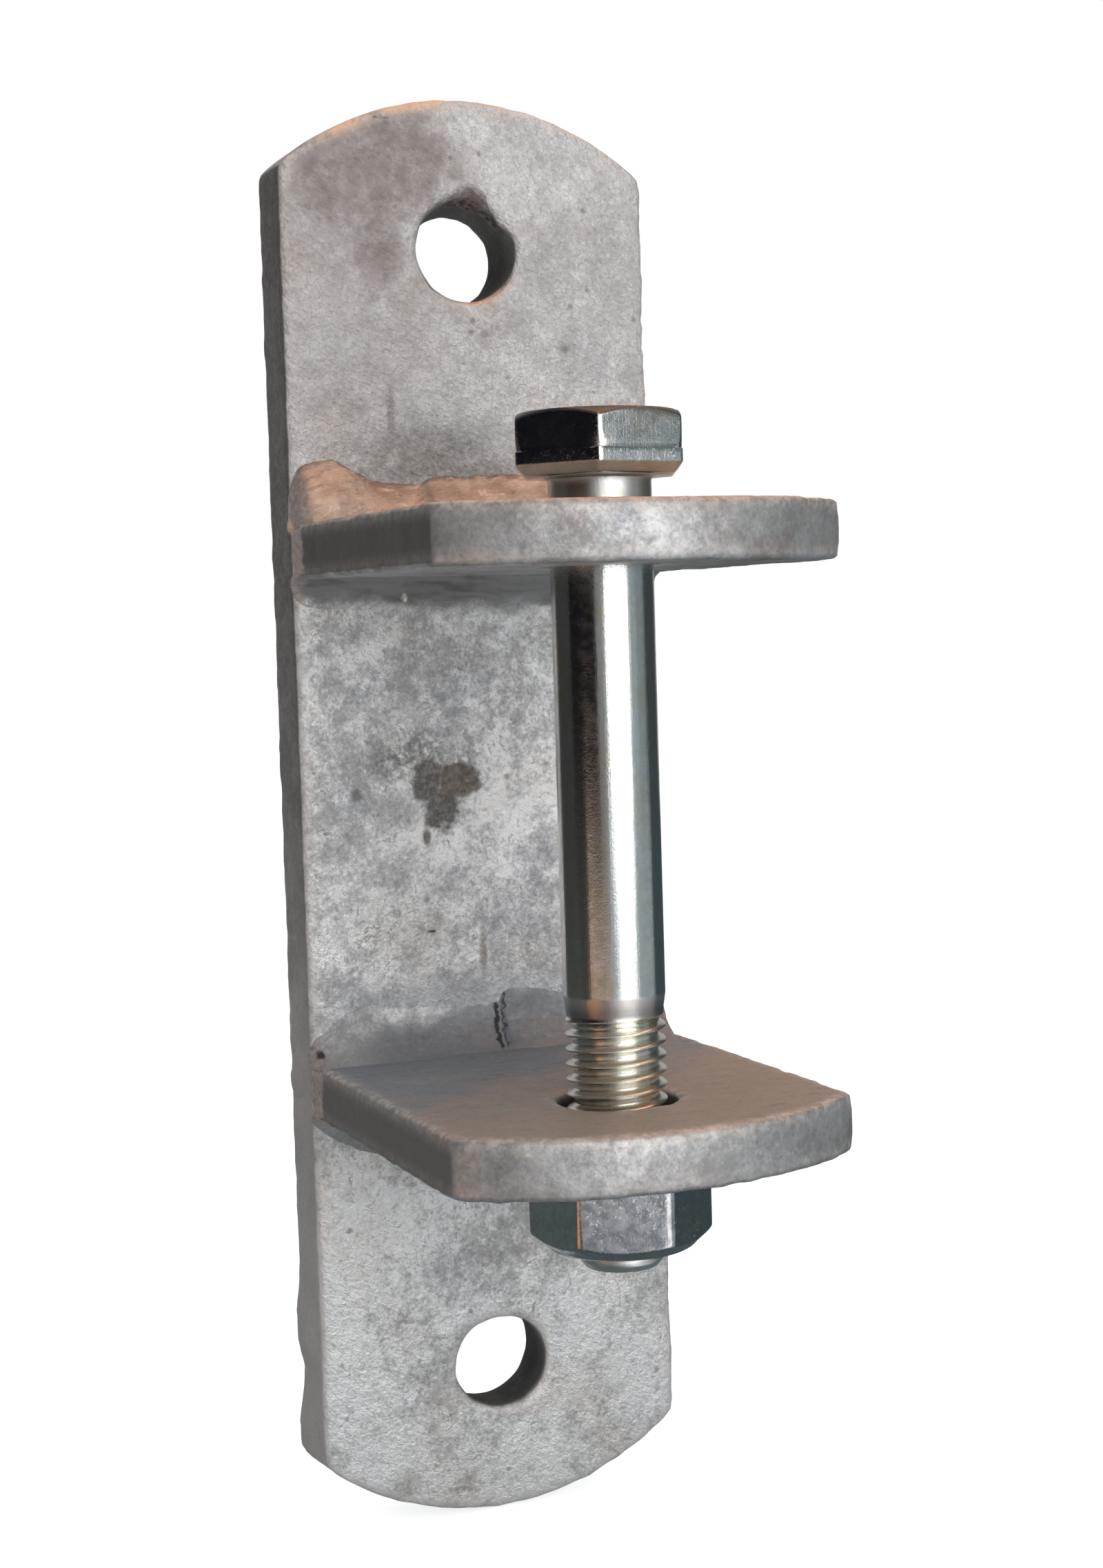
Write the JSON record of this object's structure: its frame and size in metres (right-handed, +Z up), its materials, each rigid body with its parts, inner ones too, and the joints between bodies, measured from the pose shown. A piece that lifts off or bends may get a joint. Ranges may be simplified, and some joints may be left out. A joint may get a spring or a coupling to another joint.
{
  "type": "pipe wall bracket",
  "caption": "Galvanised flat-bar wall plate with lugs welded to its front and an upright hex bolt and nut that hold the eye of a pipe clip between them.",
  "frame": {"origin": "Centre of the plate's back face, which lies against the wall.", "axes": "+Z up along the plate, +X across it, +Y into the wall. The lugs point to -Y."},
  "size_m": [0.05, 0.072, 0.186],
  "materials": {
    "galvanised": "hot-dip galvanised, matt grey with a fine bright mottle",
    "galvanised_weld": "galvanised over the weld, smoother and darker grey",
    "zinc_plated": "bright zinc plate with faint yellow and blue tints"
  },
  "bodies": {
    "bracket": {"back_plate": "galvanised", "upper_lug": "galvanised", "lower_lug": "galvanised", "upper_lug_top_weld": "galvanised_weld", "upper_lug_under_weld": "galvanised_weld", "lower_lug_top_weld": "galvanised_weld", "lower_lug_under_weld": "galvanised_weld"},
    "bolt": {"hex_bolt": "zinc_plated", "hex_nut": "zinc_plated"}
  },
  "joints": [
    {"name": "bolt_drop", "type": "slide", "parent": "bracket", "child": "bolt", "axis": [0, 0, 1], "range_m": [-0.0032, 0]}
  ]
}
